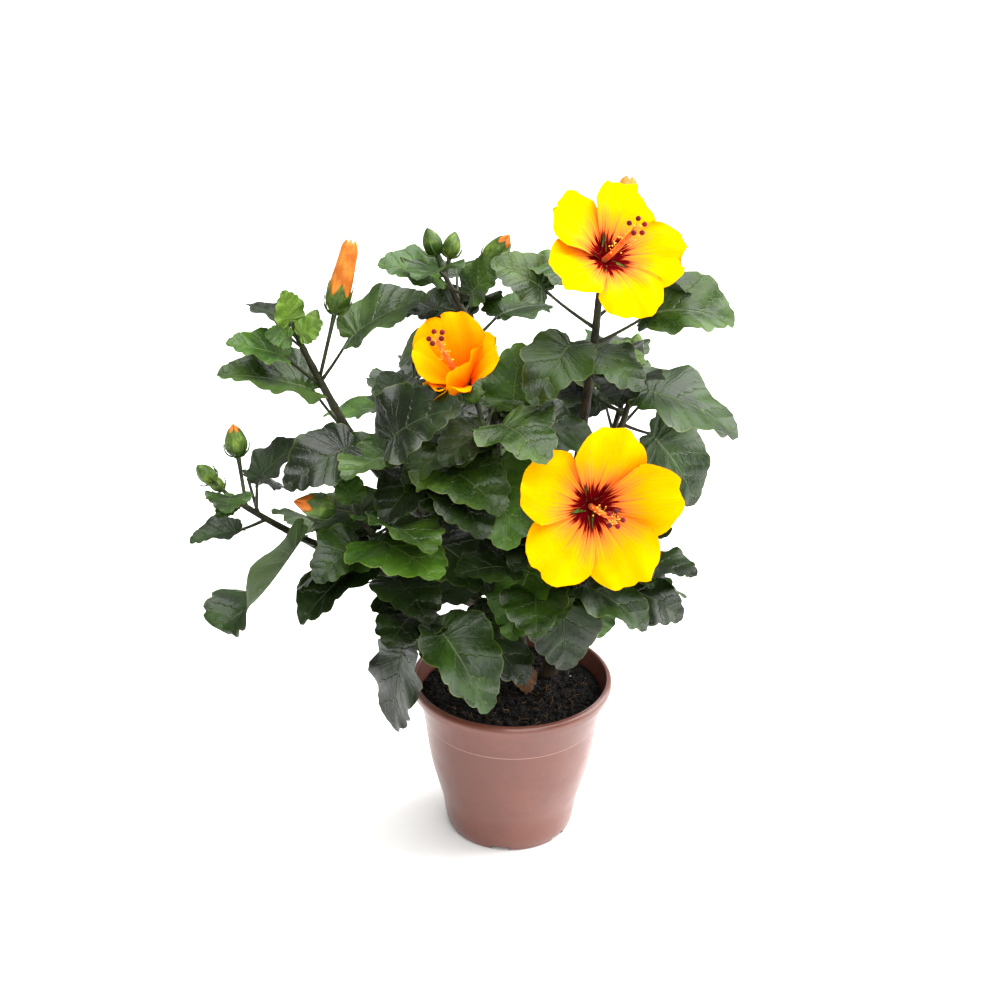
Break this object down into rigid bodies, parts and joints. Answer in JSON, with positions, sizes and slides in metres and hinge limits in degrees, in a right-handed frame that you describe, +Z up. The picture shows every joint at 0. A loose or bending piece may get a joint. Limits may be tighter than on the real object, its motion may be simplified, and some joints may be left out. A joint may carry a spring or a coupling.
{
  "type": "hibiscus shrub",
  "caption": "Young hibiscus shrub in bloom, with yellow red-eyed flowers, an opening orange flower, buds and toothed dark leaves, in its round brown plastic nursery pot.",
  "frame": {"origin": "centre of the flat underside of the pot, on the surface it stands on", "axes": "+Z up, -Y towards the side that the open blooms face, +X to that side's right"},
  "size_m": [0.334, 0.2491, 0.4468],
  "materials": {
    "pot_plastic": "satin terracotta-brown moulded plastic",
    "peat": "moist dark peat, matte and crumbly",
    "bark": "thin smooth brown bark, greener on young shoots",
    "leaf": "glossy dark green leaves with paler veins",
    "yellow_petal": "soft matte yellow petals with a dark red eye",
    "orange_petal": "soft matte orange petals with a dark red throat"
  },
  "bodies": {
    "root": {"pot": "pot_plastic", "soil": "peat", "stem_main": "bark", "stem_right": "bark", "bough_top_centre": "bark", "bough_upper_left": "bark", "bough_mid_left": "bark", "bough_centre": "bark", "bough_back_left": "bark", "bough_lower_left": "bark", "bough_front_left": "bark", "bough_low_left": "bark", "bough_back_low": "bark", "bough_top_right": "bark", "bough_right": "bark", "bough_back_right": "bark", "bough_centre_right": "bark", "bough_front": "bark", "bough_lower_right": "bark", "bloom_top": "yellow_petal", "bloom_front": "yellow_petal", "bloom_middle": "orange_petal", "foliage_upper_left": "leaf", "foliage_lower_left": "leaf", "foliage_mid_left": "leaf", "foliage_front_left": "leaf", "foliage_low_left": "leaf", "foliage_centre": "leaf", "foliage_top_centre": "leaf", "foliage_top_right": "leaf", "foliage_right": "leaf", "foliage_centre_right": "leaf", "foliage_front": "leaf", "foliage_lower_right": "leaf", "foliage_back_left": "leaf", "foliage_back_right": "leaf", "foliage_back_low": "leaf"}
  },
  "joints": []
}
